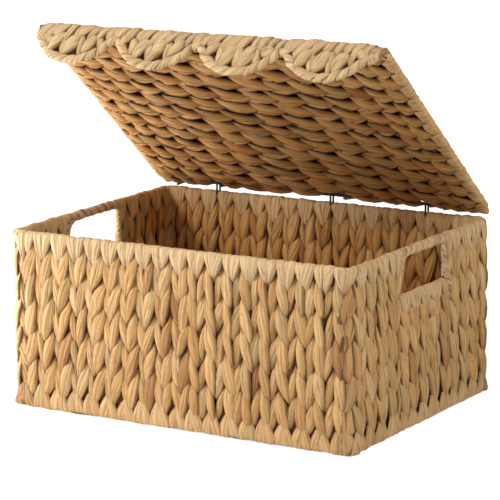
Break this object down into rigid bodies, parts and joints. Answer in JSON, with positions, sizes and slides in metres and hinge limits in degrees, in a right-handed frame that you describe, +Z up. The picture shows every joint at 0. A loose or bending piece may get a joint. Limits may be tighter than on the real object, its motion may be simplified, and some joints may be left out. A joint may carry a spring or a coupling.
{
  "type": "woven lidded box",
  "caption": "Rectangular storage box woven from water hyacinth on an iron wire frame, with hand slots in its ends and a hinged lid with a scalloped front lip.",
  "frame": {"origin": "middle of the flat underside", "axes": "+X along the width, +Y from the long front towards the hinge side, +Z up"},
  "size_m": [0.438, 0.312, 0.4162],
  "materials": {
    "woven_hyacinth": "matt plaited plant stem",
    "wrapped_hyacinth": "matt wound plant stem",
    "frame_iron": "dark satin coating",
    "ring_wire": "dark satin coating"
  },
  "bodies": {
    "box": {"front_panel": "woven_hyacinth", "back_panel": "woven_hyacinth", "left_panel": "woven_hyacinth", "right_panel": "woven_hyacinth", "floor_panel": "woven_hyacinth", "handle_wrap_left": "wrapped_hyacinth", "handle_wrap_right": "wrapped_hyacinth", "rim_rail": "frame_iron", "base_rail": "frame_iron", "corner_post_1": "frame_iron", "corner_post_2": "frame_iron", "corner_post_3": "frame_iron", "corner_post_4": "frame_iron", "ring_wire_1": "frame_iron", "ring_wire_2": "frame_iron", "ring_wire_3": "frame_iron", "ring_wire_4": "frame_iron", "parted_wire_front": "frame_iron", "parted_wire_back": "frame_iron", "slot_frame_left": "frame_iron", "slot_frame_right": "frame_iron", "floor_wire_01": "frame_iron", "floor_wire_02": "frame_iron", "floor_wire_03": "frame_iron", "floor_wire_04": "frame_iron", "floor_wire_05": "frame_iron", "floor_wire_06": "frame_iron", "floor_wire_07": "frame_iron", "floor_wire_08": "frame_iron", "floor_wire_09": "frame_iron", "floor_wire_10": "frame_iron", "floor_wire_11": "frame_iron", "floor_wire_12": "frame_iron", "hinge_ring_1": "ring_wire", "hinge_ring_2": "ring_wire", "hinge_ring_3": "ring_wire"},
    "lid": {"lid_panel": "woven_hyacinth", "lip_panel": "woven_hyacinth", "lip_binding": "wrapped_hyacinth", "lid_rail": "frame_iron", "lid_wire_01": "frame_iron", "lid_wire_02": "frame_iron", "lid_wire_03": "frame_iron", "lid_wire_04": "frame_iron", "lid_wire_05": "frame_iron", "lid_wire_06": "frame_iron", "lid_wire_07": "frame_iron", "lid_wire_08": "frame_iron", "lid_wire_09": "frame_iron", "lid_wire_10": "frame_iron", "lid_wire_11": "frame_iron", "lid_wire_12": "frame_iron", "lid_wire_13": "frame_iron", "lip_wire": "frame_iron"}
  },
  "joints": [
    {"name": "lid_hinge", "type": "hinge", "parent": "box", "child": "lid", "pos_m": [0, 0.1514, 0.206], "axis": [-1, 0, 0], "range_deg": [-41.6, 176]}
  ]
}
